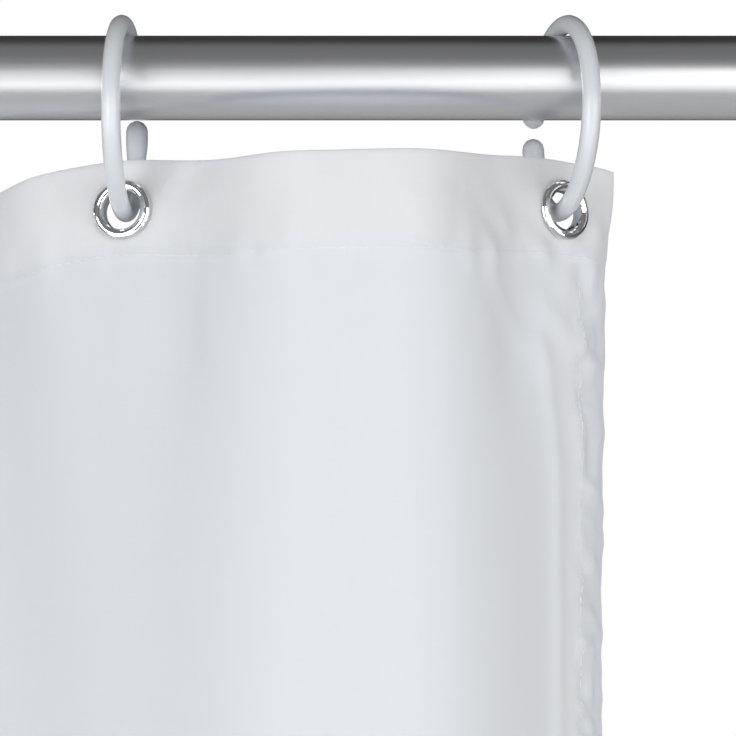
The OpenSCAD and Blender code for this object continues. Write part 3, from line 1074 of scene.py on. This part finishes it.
def floor_material():
    """Pale and matt near the object, and evenly paler further off, up to the white backdrop."""
    material, tree = new_tree("floor")
    place_in = object_place(tree)
    clouds = stretched_noise(tree, place_in, (1.5, 1.5, 1.5), 4.0)
    look = LOOKS["floor"]
    base = mix_colour(tree, clouds, look.dark, look.light)
    inputs = {"Base Color": base, "Roughness": look.roughest}
    matt = node(tree, "ShaderNodeBsdfPrincipled", inputs).outputs[0]
    away = node(tree, "ShaderNodeVectorMath", {0: place_in}, operation="LENGTH").outputs["Value"]
    even = eased(tree, away, NEAR_FLOOR, EVEN_FLOOR)
    tone = mix_colour(tree, eased(tree, away, EVEN_FLOOR, FAR_FLOOR), FLOOR_TONE, WHITE)
    glow = node(tree, "ShaderNodeEmission", {"Color": tone}).outputs[0]
    seen = node(tree, "ShaderNodeLightPath").outputs["Is Camera Ray"]
    inputs = {0: math_node(tree, "MULTIPLY", even, seen), 1: matt, 2: glow}
    finish_tree(tree, node(tree, "ShaderNodeMixShader", inputs).outputs[0])
    return material


# ---- Stage, light and camera ----

FLOOR_GAP = 60 * MM
FLOOR_RADII = (0.5, 1.5, 4.0, 12.0, 40.0, 120.0)
FLOOR_SPOKES = 48


def floor():
    """A plain pale, round floor up to the horizon, centred below the object."""
    turns = np.arange(FLOOR_SPOKES) * 2 * np.pi / FLOOR_SPOKES
    points = [(r * math.cos(t), r * math.sin(t), 0) for r in FLOOR_RADII for t in turns]
    faces = [list(range(FLOOR_SPOKES))]
    for start in range(0, (len(FLOOR_RADII) - 1) * FLOOR_SPOKES, FLOOR_SPOKES):
        for k in range(FLOOR_SPOKES):
            a, b = start + k, start + (k + 1) % FLOOR_SPOKES
            faces.append([a, a + FLOOR_SPOKES, b + FLOOR_SPOKES, b])
    mesh = bpy.data.meshes.new("floor")
    mesh.from_pydata(points, [], faces)
    mesh.materials.append(floor_material())
    made = bpy.data.objects.new("floor", mesh)
    made.location = (MIDDLE_X, 0, BOTTOM_Z - FLOOR_GAP)
    bpy.context.scene.collection.objects.link(made)
    made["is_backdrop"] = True
    return made


def softbox(name, place_at, look_at, size, power, colour=(1, 1, 1)):
    """A rectangular area light that the camera doesn't see."""
    light = bpy.data.lights.new(name, "AREA")
    light.shape = "RECTANGLE"
    light.size, light.size_y = size
    light.energy = power
    light.color = colour
    made = bpy.data.objects.new(name, light)
    made.location = place_at
    way = Vector(look_at) - Vector(place_at)
    made.rotation_euler = way.to_track_quat("-Z", "Y").to_euler()
    made.visible_camera = False
    bpy.context.scene.collection.objects.link(made)
    return made


def reach(lights, floor_piece, on_floor):
    """The lights shine on the floor alone, or on everything but the floor."""
    group = bpy.data.collections.new("floor_only" if on_floor else "all_but_floor")
    group.objects.link(floor_piece)
    for entry in group.collection_objects:
        entry.light_linking.link_state = "INCLUDE" if on_floor else "EXCLUDE"
    for light in lights:
        light.light_linking.receiver_collection = group


# Each softbox stands round the curtain: its turn from straight in front, to the right, its power
# in watts, and its colour
SOFTBOXES = {
    "key_front_left": (-30, 154, (1.0, 1.0, 1.0)),
    "front_right": (30, 82, (1.0, 1.0, 1.0)),
    "right": (60, 62, (1.0, 0.99, 0.97)),
    "left": (-90, 130, (1.0, 0.99, 0.97)),
    "back_left": (-150, 10, (1.0, 0.97, 0.93)),
    "back": (180, 48, (1.0, 1.0, 1.0)),
    "back_right": (150, 52, (0.5, 0.76, 1.0)),
}
SOFTBOX_SIZE = (3.0, 3.0)
SOFTBOX_AWAY = 5.0
SOFTBOX_Z = -0.6
STRIP_POWER = 12
STRIP_SIZE = (4.0, 0.9)
STRIP_Y, STRIP_Z = -1.6, -1.0
OVERHEAD_POWER = 205
OVERHEAD_SIZE = (6.0, 6.0)
OVERHEAD_Z = 2.4
MIDDLE_X = (CAD_BOX[0].x + CAD_BOX[1].x) / 2


def studio_lights(floor_piece):
    """Large softboxes all round, a strip for the metal's gleam, and a light for the floor alone."""
    centre = Vector((MIDDLE_X, 0, SOFTBOX_Z))
    softboxes = []
    for name, (turn, power, colour) in SOFTBOXES.items():
        side = math.radians(turn)
        place_at = centre + SOFTBOX_AWAY * Vector((math.sin(side), -math.cos(side), 0))
        made = softbox(name, place_at, centre, SOFTBOX_SIZE, power, colour)
        made.visible_glossy = not name.startswith("back")
        softboxes.append(made)
    strip_at = Vector((MIDDLE_X, STRIP_Y, STRIP_Z))
    strip = softbox("metal_strip", strip_at, Vector((MIDDLE_X, 0, 0)), STRIP_SIZE, STRIP_POWER)
    strip.visible_diffuse = strip.visible_transmission = False
    overhead_at = Vector((MIDDLE_X, 0, OVERHEAD_Z))
    overhead = softbox("overhead", overhead_at, centre, OVERHEAD_SIZE, OVERHEAD_POWER)
    reach(softboxes + [strip], floor_piece, False)
    reach([overhead], floor_piece, True)


GREY_IN_FRONT = (0.2, 0.2, 0.2, 1)
DARK_BEHIND = (0.03, 0.03, 0.03, 1)
# Between these the world turns dark, as shares of the way straight back
TURNS_DARK = (-0.05, 0.08)


def studio_world():
    """White where the camera looks past the object. What it lights and reflects is grey in front and
    nearly black behind."""
    world = bpy.data.worlds.new("studio")
    bpy.context.scene.world = world
    world.use_nodes = True
    tree = world.node_tree
    tree.nodes.clear()
    way = node(tree, "ShaderNodeTexCoord").outputs["Generated"]
    parts = node(tree, "ShaderNodeSeparateXYZ", {"Vector": way})
    behind = eased(tree, parts.outputs["Y"], *TURNS_DARK)
    colour = mix_colour(tree, behind, GREY_IN_FRONT, DARK_BEHIND)
    seen = node(tree, "ShaderNodeLightPath").outputs["Is Camera Ray"]
    final = mix_colour(tree, seen, colour, WHITE)
    background = node(tree, "ShaderNodeBackground", {"Color": final, "Strength": 1.0})
    node(tree, "ShaderNodeOutputWorld", {"Surface": background.outputs[0]})


CAMERA_LOOK_UP = 10
CAMERA_DISTANCE = 1.0
CAMERA_LENS = 168
# The middle of the view, below the rod's axis and to the right of the last ring but one
VIEW_BELOW_ROD = 87 * MM
VIEW_PAST_RING = 71.9 * MM


def camera():
    """Below and in front of the last two rings, looking slightly up."""
    target = Vector((EYELETS[-2].x + VIEW_PAST_RING, 0, -VIEW_BELOW_ROD))
    up = math.radians(CAMERA_LOOK_UP)
    data = bpy.data.cameras.new("camera")
    data.lens = CAMERA_LENS
    made = bpy.data.objects.new("camera", data)
    made.location = target - CAMERA_DISTANCE * Vector((0, math.cos(up), math.sin(up)))
    made.rotation_euler = (target - made.location).to_track_quat("-Z", "Y").to_euler()
    bpy.context.scene.collection.objects.link(made)
    bpy.context.scene.camera = made


# ---- Putting it together ----

# How fine each metal's brushed lines are along X, Y and Z
ROD_GRAIN = (3, 900, 900)
SOCKET_GRAIN = (900, 60, 60)
SCREW_GRAIN = (1500, 1500, 300)


def hang(piece, *nodes):
    """The piece stands for those CAD nodes, and rides on the curtain's body."""
    if nodes:
        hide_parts(*nodes)
    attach(piece, "curtain")
    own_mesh(piece)


def give_material(names, material):
    """Puts the material in every slot of those CAD nodes."""
    for name in names:
        for slot in frame["nodes"][name].material_slots:
            slot.material = material


def main():
    camera()
    studio_world()
    studio_lights(floor())
    bpy.context.scene.view_settings.view_transform = "Standard"

    cloth = cloth_material()
    thread = thread_material()
    panel = curtain_panel(cloth)
    parts = {
        header_facing(cloth): "header_facing",
        header_interlining(interlining_material()): "header_interlining",
        side_hem("left_hem_cloth", cloth, False): "left_side_hem",
        side_hem("right_hem_cloth", cloth, True): "right_side_hem",
        bottom_hem(cloth): "bottom_hem",
        weight_tape(tape_material()): "bottom_weight_tape",
    }
    seams = all_stitches(thread)
    hang(panel, "curtain_panel")
    for piece, replaced in parts.items():
        hang(piece, replaced)
    for piece in seams:
        hang(piece)
    eyelets = [f"eyelet_{number}" for number in NUMBERS]

    plastic = ring_material()
    for i in range(RING_COUNT):
        ring(i, plastic)
    washers = [f"eyelet_washer_{number}" for number in NUMBERS]
    give_material(eyelets + washers, chrome_material())
    give_material(["rod_tube"], brushed_material("rod_steel", ROD_GRAIN))
    socket_steel = brushed_material("socket_steel", SOCKET_GRAIN)
    give_material(["left_wall_socket", "right_wall_socket"], socket_steel)
    screw_steel = brushed_material("screw_steel", SCREW_GRAIN)
    give_material(["left_grub_screw", "right_grub_screw"], screw_steel)


main()

VISUAL_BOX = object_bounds()
boxes = {"cad": CAD_BOX, "visual": VISUAL_BOX}
{name: [list(corner) for corner in box] for name, box in boxes.items()}
